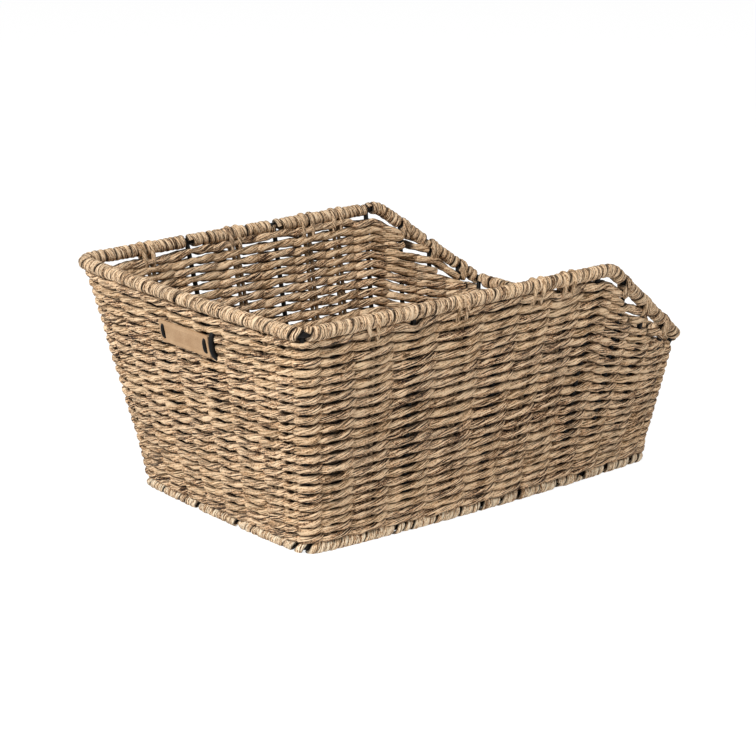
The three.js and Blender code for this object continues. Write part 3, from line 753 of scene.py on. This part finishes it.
def grown(name, lines, tree, settings, flat_foot=False):
    """A piece that a shape tree makes of some lines, left as a plain mesh. With a flat foot, nothing of it
    lies below the ground."""
    piece = chains(name, lines)
    modifier = piece.modifiers.new("shape", "NODES")
    modifier.node_group = tree.group
    for label, value in settings.items():
        modifier[tree.keys[label]] = value * MM if tree.kinds[label] == "Length" else value
    piece.update_tag()
    bpy.context.view_layer.update()
    depsgraph = bpy.context.evaluated_depsgraph_get()
    mesh = bpy.data.meshes.new_from_object(piece.evaluated_get(depsgraph), depsgraph=depsgraph)
    piece.modifiers.clear()
    start, piece.data = piece.data, mesh
    bpy.data.meshes.remove(start)
    mesh.name = name
    if flat_foot:
        places = np.empty(len(mesh.vertices) * 3, np.float32)
        mesh.vertices.foreach_get("co", places)
        places[2::3] = np.maximum(places[2::3], 0)
        mesh.vertices.foreach_set("co", places)
        mesh.update()
    return piece


def placed(piece, nodes):
    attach(piece, "root")
    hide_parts(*nodes)


def nodes_named(*starts):
    return [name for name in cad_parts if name.startswith(starts)]


# ---- Round wires ----

def rod(points, radius, sides=12, closed=False):
    """Points and faces of a round rod along a line."""
    points = np.asarray(points, float)
    if closed:
        ahead = unit(np.roll(points, -1, 0) - np.roll(points, 1, 0))
    else:
        ahead = unit(np.gradient(points, axis=0))
    hint = UP if abs(ahead[:, 2]).max() < 0.9 else np.array([1.0, 0.3, 0.0])
    side = unit(np.cross(ahead, hint))
    rise = np.cross(side, ahead)
    angles = np.arange(sides) * TURN / sides
    ring = (np.cos(angles)[None, :, None] * side[:, None, :]
            + np.sin(angles)[None, :, None] * rise[:, None, :]) * radius
    skin = (points[:, None, :] + ring).reshape(-1, 3)
    count = len(points)
    faces = []
    for i in range(count if closed else count - 1):
        a, b = i * sides, ((i + 1) % count) * sides
        for j in range(sides):
            k = (j + 1) % sides
            faces.append((a + j, b + j, b + k, a + k))
    if not closed:
        faces.append(tuple(range(sides)))
        faces.append(tuple((count - 1) * sides + j for j in reversed(range(sides))))
    return skin, faces


def wire_piece(name, rods, nodes):
    """One smooth black mesh of several rods."""
    points, faces, first = [], [], 0
    for skin, rings in rods:
        points.append(skin)
        faces.extend(tuple(first + i for i in face) for face in rings)
        first += len(skin)
    mesh = bpy.data.meshes.new(name)
    mesh.from_pydata((np.vstack(points) * MM).tolist(), [], faces)
    mesh.materials.append(BLACK_WIRE)
    mesh.polygons.foreach_set("use_smooth", [len(face.vertices) == 4 for face in mesh.polygons])
    mesh.update()
    placed(shown(name, mesh), nodes)


RIM_MARKS = resampled(RIM, 1.5, closed=True)


def stake_line(wall, place):
    """A stake's line from the base wire up to where it meets the rim wire."""
    foot, head = (line[0] for line in wall_line(wall, place))
    tries = foot + (head - foot) * np.linspace(0, 1, 2 * RIM_HEIGHT + 1)[:, None]
    return foot, tries[np.argmin(nearest_on(tries, RIM_MARKS))]


def bowed_stake(wall, place):
    """A stake's points: straight, and at a corner bowed in between its ends."""
    points = np.linspace(*stake_line(wall, place), STAKE_POINTS)
    if abs(place) < 1:
        return points
    share = np.linspace(0, 1, len(points))[:, None]
    bow = np.clip(np.minimum(share, 1 - share) / STAKE_END_SHARE, 0, 1)
    return points - unit([place, 1 if wall == "far" else -1, 0]) * bow * CORNER_TUCK


def base_loop():
    place = np.linspace(-1, 1, BASE_POINTS)
    parts = [base_outline.at("far", place, BASE_Z), base_outline.at("low", place[::-1], BASE_Z),
             base_outline.at("near", place[::-1], BASE_Z), base_outline.at("high", place, BASE_Z)]
    return np.vstack([part[:-1] for part in parts])


def floor_rod(place):
    """A wire straight across the base at a place on its long sides."""
    x, y, _ = base_outline.at("far", place, 0)[0]
    return rod(np.linspace([x, -y, FLOOR_Z], [x, y, FLOOR_Z], 12), FLOOR_WIRE_RADIUS)


BASE = base_loop()
stakes = [(wall, place) for wall, places in WIRE_STAKES.items() for place in places] + CORNERS
wire_piece("rim_rod", [rod(resampled(RIM, 4, True)[:-1], RIM_WIRE_RADIUS, 16, True)], ["rim_wire"])
wire_piece("base_rod", [rod(resampled(BASE, 4, True)[:-1], BASE_WIRE_RADIUS, 12, True)], ["base_wire"])
wire_piece("stake_rods", [rod(bowed_stake(wall, place), STAKE_RADIUS) for wall, place in stakes],
           nodes_named("wire_stake", "corner_stake"))
wire_piece("floor_rods", [floor_rod(place) for place in FLOOR_WIRES], nodes_named("floor_wire"))


# ---- Rows of twined cord ----

rng = np.random.default_rng(7)


def cord(points, **changes):
    """A cord's line with what the strand tree reads: straight and even, apart from the changes given."""
    ones, flat = np.ones(len(points)), np.zeros_like(points)
    return {"points": points, "out": flat, "rise": flat, "phase": ones * 0, "hold": ones, "room": ones,
            "squeeze": ones * 0, "thick": ones, "tint": ones * rng.random(), **changes}


def packed_pitch(place):
    """Mean height of a row at a place on a long side: the rows draw together towards the low end."""
    return np.interp(place, PACKING_PLACES, PACKED_PITCHES)


def rows_up(row):
    """How many mean rows lie below a row's middle: rows are tallest half way up."""
    return row - 0.5 - ROW_SPREAD * math.sin(TURN * (row - 0.5) / ROWS) * ROWS / TURN


def stations():
    """Places all round the walls, from the far low corner along the far side: what a row needs at each."""
    parts = {key: [] for key in ("foot", "head", "phase", "pitch", "wall", "place")}
    count, squeezes = 0, [CORNER_PINCH]
    for wall, way in (("far", -1), ("high", -1), ("near", 1), ("low", 1)):
        place = np.linspace(-way, way, SIDE_POINTS if wall in LONG_SIDES else END_POINTS)
        marks = np.sort(np.array([-1, *WIRE_STAKES[wall], *CORD_PAIRS[wall], *CORNER_CROSSINGS[wall], 1]) * way)
        phase = count + np.interp(place * way, marks, np.arange(len(marks)))
        count += len(marks) - 1
        loose = rng.uniform(*PINCH_RANGE, len(marks) - 2) * WALL_PINCH[wall]
        if wall == "far":
            loose[marks[1:-1] * way > SLOPE_PINCH_FROM] *= SLOPE_PINCH
        squeezes += [*loose, CORNER_PINCH]
        if wall in LONG_SIDES:
            pitch = packed_pitch(place)
        else:
            pitch = np.full(len(place), LOW_ROW_PITCH if wall == "low" else ROW_PITCH)
        values = (*wall_line(wall, place), phase, pitch, np.full(len(place), wall), place)
        for key, value in zip(parts, values):
            parts[key].append(value if wall == "low" else value[:-1])
    ring = {key: np.concatenate(value) for key, value in parts.items()}
    middle = (ring["foot"] + ring["head"]) / 2
    ring["rise"] = unit(ring["head"] - ring["foot"])
    out = unit(np.cross(ring["rise"], unit(np.gradient(middle, axis=0))))
    ring["out"] = out * np.sign(out[0, :2] @ ring["foot"][0, :2])
    run = run_along(middle)
    corner_runs = run[np.abs(ring["place"]) > 0.9999]
    ring["tuck"] = np.exp(-(np.abs(run[:, None] - corner_runs).min(1) / CORNER_TUCK_REACH) ** 2)
    ring["squeeze"] = np.interp(ring["phase"], np.arange(len(squeezes)), squeezes)
    return ring


RING = stations()


def row_levels(row):
    """Height of a row's middle all round: it stays under the slope's winding, and the top row rises."""
    z = WEAVE_BOTTOM + rows_up(row) * RING["pitch"]
    place = RING["place"]
    if row > FULL_ROWS:
        x = RING["foot"][:, 0] + (RING["head"][:, 0] - RING["foot"][:, 0]) * (z - BASE_Z) / RIM_HEIGHT
        sloping = np.isin(RING["wall"], LONG_SIDES) & (place > KINK)
        z = np.where(sloping, np.minimum(z, rim_z(x) - SLOPE_CLEARANCE), z)
        for wall in LONG_SIDES:
            if (wall, row) in SLOPE_LEVELS:
                places, levels = SLOPE_LEVELS[wall, row]
                leave = places[0] - SLOPE_LEVEL_LEAD
                start = WEAVE_BOTTOM + rows_up(row) * packed_pitch(leave)
                here = (RING["wall"] == wall) & (place > leave)
                z = np.where(here, np.interp(place, [leave, *places], [start, *levels]), z)
    for wall, (places, lifts) in TOP_ROW_LIFTS.items():
        rise = np.interp(place, places, lifts) * SHARED_RISE.get(row, 0)
        z = z + np.where(RING["wall"] == wall, rise, 0)
    return z


def row_lines(row):
    """The two strands of a row, each a line with what the strand tree reads."""
    share = ((row_levels(row) - BASE_Z) / RIM_HEIGHT)[:, None]
    points = RING["foot"] + (RING["head"] - RING["foot"]) * share
    tuck = RING["tuck"][:, None] * np.clip(share / STAKE_END_SHARE, 0, 1)
    points = points - RING["out"] * tuck * CORNER_TUCK
    room = RING["pitch"] / ROW_PITCH * (1 - ROW_SPREAD * math.cos(TURN * (row - 0.5) / ROWS))
    strands = []
    for strand in (0, 1):
        first, last = 0, len(points) - 1
        if row > FULL_ROWS:
            ends = {wall: reach[strand] for wall, reach in SLOPE_ROWS[row].items()}
            first = np.nonzero((RING["wall"] == "far") & (RING["place"] <= ends["far"]))[0][0]
            last = np.nonzero((RING["wall"] == "near") & (RING["place"] <= ends["near"]))[0][-1]
        span = slice(first, last + 1)
        run = run_along(points[span])
        tail = np.minimum(run, run[-1] - run)
        hold = np.clip(tail / LOOSE_END, LOOSE_HOLD, 1) if row > FULL_ROWS else np.ones_like(run)
        strands.append(cord(
            points[span], out=RING["out"][span], rise=RING["rise"][span], room=room[span],
            squeeze=RING["squeeze"][span], phase=RING["phase"][span] + strand,
            hold=hold * (1 - CORNER_CALM * RING["tuck"][span]), thick=0.15 + 0.85 * room[span]))
    return strands


strand_settings = {
    "Radius": STRAND_RADIUS, "Swing": STRAND_DEPTH, "Rise": STRAND_RISE, "Row Height": ROW_PITCH, "Step": 1.8,
    "Lay": 90, "Lobes": 6.0, "Lobe Depth": 0.2, "Sides": 12, "Unevenness": 4.2, "Seed": 3.0, "Material": WOVEN}
for band, (first, last) in enumerate([(1, 5), (6, 10), (11, 15), (16, 18), (19, 22)]):
    lines = [line for row in range(first, last + 1) for line in row_lines(row)]
    placed(grown(f"twined_rows_{band + 1}", lines, STRANDS, strand_settings),
           ["weave_left", "weave_right", "weave_high_end", "weave_low_end"])


# ---- Cord pairs ----

def wall_ahead(wall, place, level):
    """Way along a wall at a place, at its foot (level 0) or its head (level 1)."""
    return wall_line(wall, place + 0.02)[level][0] - wall_line(wall, place - 0.02)[level][0]


def pair_lines():
    """Two cords side by side up the wall at each pair's place, spreading where they reach the rim."""
    lines = []
    for wall, places in CORD_PAIRS.items():
        for place in places:
            foot, head = stake_line(wall, place)
            rise = unit(head - foot)
            ahead = wall_ahead(wall, place, 0)
            side = unit(ahead - rise * (ahead @ rise))
            length = np.linalg.norm(head - foot)
            run = np.linspace(0, length - RIM_WIRE_RADIUS, PAIR_POINTS)
            spread = PAIR_HALF + PAIR_SPREAD * np.clip((run - (length - 20)) / 14, 0, 1) ** 2
            for hand in (-1, 1):
                lines.append(cord(foot + rise * run[:, None] + side * (hand * spread)[:, None]))
    return lines


plain_cord = {**strand_settings, "Radius": 2.0, "Swing": 0.0, "Rise": 0.0}
placed(grown("warp_cords", pair_lines(), STRANDS, {
    **plain_cord, "Step": 1.5, "Lay": 14, "Lobes": 2.0, "Lobe Depth": 0.25, "Sides": 8, "Unevenness": 0.6,
    "Material": PAINTED_SHADE_WARP}), nodes_named("cord_pair"))


# ---- Wound rims ----

def between(path, gaps):
    """Stretches of a closed path that are left when a gap is cut at each of some points."""
    line = resampled(path, 1.0, closed=True)[:-1]
    clear = np.ones(len(line), bool)
    for point, width in gaps:
        clear &= np.linalg.norm(line - point, axis=1) > width / 2
    start = int(np.nonzero(~clear)[0][0])
    line, clear = np.roll(line, -start, 0), np.roll(clear, -start)
    edges = np.nonzero(np.diff(np.r_[False, clear, False].astype(int)))[0].reshape(-1, 2)
    return [{"points": line[a:b]} for a, b in edges if b - a > 4]


rim_gaps = [(stake_line(wall, place)[1], WINDING_GAP) for wall, places in RIM_GAPS.items() for place in places]
rim_gaps.append((stake_line("near", -1)[1], NEAR_CORNER_GAP))
placed(grown("rim_winding", between(RIM, rim_gaps), WINDING, {
    "Reach": 4.5, "Pitch": 5.4, "Width": 6.2, "Thickness": 3.4, "Slack": 2.0, "Lean": -1.6, "Painted Shade Border": 0.74,
    "Sides": 10, "Unevenness": 0.36, "Seed": 5.0, "Material": WOUND}), nodes_named("rim_wrap"))


def lashing_lines():
    """Loops from the rim's winding: two round the top row at a cord pair, two short ones at a slope stake."""
    lines = []
    for wall, shifts in (("far", (0.016, 0.031)), ("near", (-0.014, 0.004))):
        loops = [(place + shift, LONG_LOOP, 1.0) for place in SIDE_CORD_PAIRS for shift in (-0.022, 0.02)]
        loops += [(place + shift, SHORT_LOOP, 0.85) for place in SIDE_WIRE_STAKES[3:] for shift in shifts]
        for place, reach, thick in loops:
            rim = stake_line(wall, place)[1]
            foot, head = (line[0] for line in wall_line(wall, place))
            up, ahead = unit(head - foot), unit(wall_ahead(wall, place, 1))
            out = unit(np.cross(up, ahead))
            turn = np.linspace(0, TURN, LOOP_POINTS)[:, None]
            top, low = rim + up * LOOP_TOP, rim - up * reach
            drop = (1 - np.sin(turn)) / 2
            width = LOOP_HALF * np.sign(np.cos(turn)) * np.abs(np.cos(turn)) ** 0.6 * (1 - 0.35 * drop)
            slant = ahead * (np.cos(turn) * 0.9 + drop * (rng.random() - 0.5) * 2.4)
            points = top + (low - top) * drop + out * width + slant
            lines.append(cord(points, thick=np.full(len(points), thick)))
    return lines


placed(grown("rim_lashings", lashing_lines(), STRANDS, {
    **plain_cord, "Step": 1.2, "Lay": 22, "Lobes": 3.0, "Sides": 9, "Unevenness": 1.0, "Material": WOUND}),
    nodes_named("rim_wrap"))

base_gaps = [(stake_line(wall, place)[0], WINDING_GAP) for wall, place in stakes]
placed(grown("base_winding", between(BASE, base_gaps), WINDING, {
    "Reach": 4.2, "Pitch": 6.4, "Width": 6.6, "Thickness": 3.2, "Slack": 2.4, "Lean": -2.0, "Painted Shade Border": 0.86,
    "Sides": 8, "Unevenness": 0.45, "Seed": 9.0, "Material": PAINTED_LIGHT_BASE_WOUND}, flat_foot=True),
    nodes_named("base_wrap"))


# ---- Woven floor ----

def floor_lines():
    """Rows along the basket, twined round the floor wires, cut to the base's outline."""
    inset = BASE_WRAP_RADIUS + FLOOR_EDGE_GAP
    half = int((BASE_WIDTH / 2 + BASE_SIDE_BOW - inset) // FLOOR_ROW_PITCH)
    wires = [base_outline.at("far", place, 0)[0][0] for place in FLOOR_WIRES]
    crossings = [x + step for x, step in zip(wires, FLOOR_CROSSINGS)]
    marks = sorted([*wires, *crossings, *(x + CENTRE_SHIFT for x in FLOOR_END_CROSSINGS)])
    lines = []
    for y in np.arange(-half, half + 1) * FLOOR_ROW_PITCH:
        edge = BASE[np.abs(np.abs(BASE[:, 1]) - abs(y)) < 3.5]
        x = np.linspace(edge[:, 0].min() + inset, edge[:, 0].max() - inset, FLOOR_POINTS)
        phase = np.interp(x, marks, np.arange(len(marks)))
        points = np.stack([x, np.full_like(x, y), np.full_like(x, FLOOR_WEAVE_Z)], -1)
        out, rise = np.tile(UP, (len(x), 1)), np.tile([0, 1, 0], (len(x), 1))
        for strand in (0, 1):
            lines.append(cord(points, out=out, rise=rise, phase=phase + strand, squeeze=np.ones(len(x))))
    return lines


placed(grown("twined_floor", floor_lines(), STRANDS, {
    **strand_settings, "Radius": 2.9, "Swing": 1.6, "Rise": 2.1, "Row Height": FLOOR_ROW_PITCH, "Step": 2.2,
    "Lobes": 3.0, "Sides": 8, "Unevenness": 1.4, "Seed": 11.0}, flat_foot=True), ["weave_floor"])


# ---- Label ----

def label_axes():
    """Middle of the label and its directions: along the end, up the wall and out from it."""
    foot, head = (line[0] for line in wall_line("high", 0))
    up = unit(head - foot)
    along = np.array([0.0, 1.0, 0.0])
    out = unit(np.cross(up, along))
    out *= -np.sign(out[0])
    middle = foot + (head - foot) * LABEL_LEVEL / RIM_HEIGHT + along * LABEL_OFFSET + out * LABEL_PROUD
    return middle, along, up, out


def oblong(middle, length, height, radius):
    """Outline of a rectangle with rounded corners, its middle somewhere along the label."""
    marks = []
    for side, level, start in ((1, 1, 0), (-1, 1, 90), (-1, -1, 180), (1, -1, 270)):
        for angle in np.radians(start + 15 * np.arange(7)):
            marks.append((middle + side * (length / 2 - radius) + radius * math.cos(angle),
                          level * (height / 2 - radius) + radius * math.sin(angle)))
    return np.array(marks)


def drawn_in(marks, by):
    """The same outline moved in on all sides, or out where the distance is negative."""
    middle = marks.mean(0)
    half = marks.max(0) - middle
    return middle + (marks - middle) * ((half - by) / half)


def label_board():
    """A flat board with rounded corners, softened edges and slots right through it."""
    middle, along, up, out = label_axes()
    length, height, thickness = LABEL_SIZE
    width, tall = LABEL_SLOT
    slots = [oblong(side * SLOT_PLACE, width, tall, width * 0.35) for side in (-1, 1)]
    half, soft = thickness / 2, LABEL_SOFTNESS
    levels = [(-half, soft), (-half + soft, 0), (half - soft, 0), (half, soft)]
    shape = bmesh.new()
    caps = {0: [], 3: []}
    for marks, way in [(oblong(0, length, height, LABEL_CORNER), 1)] + [(slot, -1) for slot in slots]:
        rings = []
        for depth, by in levels:
            places = middle + drawn_in(marks, way * by) @ np.stack([along, up]) + out * depth
            rings.append([shape.verts.new(tuple(place * MM)) for place in places])
        steps = [(i, (i + 1) % len(marks)) for i in range(len(marks))]
        for lower, upper in zip(rings, rings[1:]):
            for i, j in steps:
                shape.faces.new((lower[i], lower[j], upper[j], upper[i])).smooth = True
        for level, edges in caps.items():
            edges.extend(shape.edges.get((rings[level][i], rings[level][j])) for i, j in steps)
    for edges in caps.values():
        bmesh.ops.triangle_fill(shape, edges=edges, use_beauty=True)
    bmesh.ops.recalc_face_normals(shape, faces=shape.faces)
    mesh = bpy.data.meshes.new("label_board")
    shape.to_mesh(mesh)
    shape.free()
    mesh.materials.append(LABEL)
    placed(shown("label_board", mesh), ["label_plate"])


def label_straps():
    """Black straps: one through each slot, and the near one's loop round the stake beside the label."""
    middle, along, up, out = label_axes()

    def strap(place, rise, bow, *shape):
        return rod(middle + along * place + up * rise[:, None] + out * bow[:, None], *shape)

    half = LABEL_SLOT[1] / 2 - 0.2
    rise = np.linspace(-half, half, 13)
    straps = [strap(side * SLOT_PLACE, rise, 1.3 - 2.4 * (rise / half) ** 4, 1.7, 10) for side in (-1, 1)]
    rise = np.linspace(-13, 12, 25)
    straps.append(strap(-LABEL_SIZE[0] / 2 - 2.4, rise, -0.5 - 5.5 * np.abs(rise / 13) ** 2.5, 2.5, 12))
    wire_piece("label_straps", straps, ["label_tie_1", "label_tie_2"])


label_board()
label_straps()


# ---- Floor, light and camera ----

# How bright the floor and the background are for the camera, and the background's light on the basket
FLOOR_GLOW, FLOOR_GLOW_SHARE = 1.28, 0.68
WORLD_SEEN, WORLD_LIGHT = 0.66, 0.34
# Each lamp's place, width and power
LAMPS = {"key": ((-2.2, -0.5, 1.9), 0.7, 65), "fill": ((0.5, -1.5, 2.0), 0.8, 17.5)}
LAMP_AIM = (0, 0, 0.1)
CAMERA_YAW, CAMERA_PITCH = -39.39, 16.66
CAMERA_RIGHT, CAMERA_UP, CAMERA_BACK = -0.0189, 0.080, 2.1684
CAMERA_LENS = 113.8


def seen_directly(sheet):
    """1 for what the camera sees, itself or by a mirror or glass, and 0 for light on other things."""
    rays = sheet.node("ShaderNodeLightPath")
    return rays["Is Camera Ray"].larger(rays["Is Glossy Ray"].larger(rays["Is Transmission Ray"]))


def pale_floor():
    mesh = bpy.data.meshes.new("studio_floor")
    sides, reach = 96, 14.0
    ring = [(reach * math.cos(TURN * k / sides), reach * math.sin(TURN * k / sides), 0) for k in range(sides)]
    mesh.from_pydata(ring, [], [tuple(range(sides))])
    material, sheet, shader = finish_sheet("pale_floor")
    sheet.fill(shader, {"Base Color": (0.88, 0.88, 0.88, 1), "Roughness": 0.9, "Specular IOR Level": 0.0})
    glow = sheet.node("ShaderNodeEmission", {}, {"Color": (1, 1, 1, 1), "Strength": FLOOR_GLOW})[0]
    both = sheet.node("ShaderNodeMixShader", {}, {
        0: seen_directly(sheet) * FLOOR_GLOW_SHARE, 1: Node(sheet, shader)[0], 2: glow})[0]
    sheet.fill(sheet.group.nodes["Material Output"], {0: both})
    mesh.materials.append(material)
    shown("studio_floor", mesh)


def studio_light():
    world = bpy.data.worlds.new("studio")
    bpy.context.scene.world = world
    world.use_nodes = True
    sheet = Sheet(world.node_tree)
    strength = seen_directly(sheet) * WORLD_SEEN + WORLD_LIGHT
    sheet.fill(world.node_tree.nodes["Background"], {"Color": (1, 1, 1, 1), "Strength": strength})
    for name, (place, size, power) in LAMPS.items():
        light = bpy.data.lights.new(name, "AREA")
        light.shape, light.size, light.energy = "DISK", size, power
        lamp = shown(name, light)
        lamp.location = place
        lamp.rotation_euler = (Vector(LAMP_AIM) - Vector(place)).to_track_quat("-Z", "Y").to_euler()


def set_camera():
    """The photograph's view: a level camera, placed from the middle of the base."""
    yaw, pitch = math.radians(CAMERA_YAW), math.radians(CAMERA_PITCH)
    back = Vector((math.sin(yaw) * math.cos(pitch), -math.cos(yaw) * math.cos(pitch), math.sin(pitch)))
    right = Vector((math.cos(yaw), math.sin(yaw), 0))
    up = back.cross(right)
    place = (Vector((CENTRE_SHIFT, 0, BASE_Z)) * MM + right * CAMERA_RIGHT + up * CAMERA_UP
             + back * CAMERA_BACK)
    data = bpy.data.cameras.new("photo_view")
    data.lens, data.sensor_width, data.sensor_fit = CAMERA_LENS, 36, "HORIZONTAL"
    data.clip_end = 100
    camera = shown("photo_view", data)
    camera.matrix_world = Matrix.Translation(place) @ Matrix((right, up, back)).transposed().to_4x4()
    bpy.context.scene.camera = camera


pale_floor()
studio_light()
set_camera()
bpy.context.scene.view_settings.view_transform = "Standard"
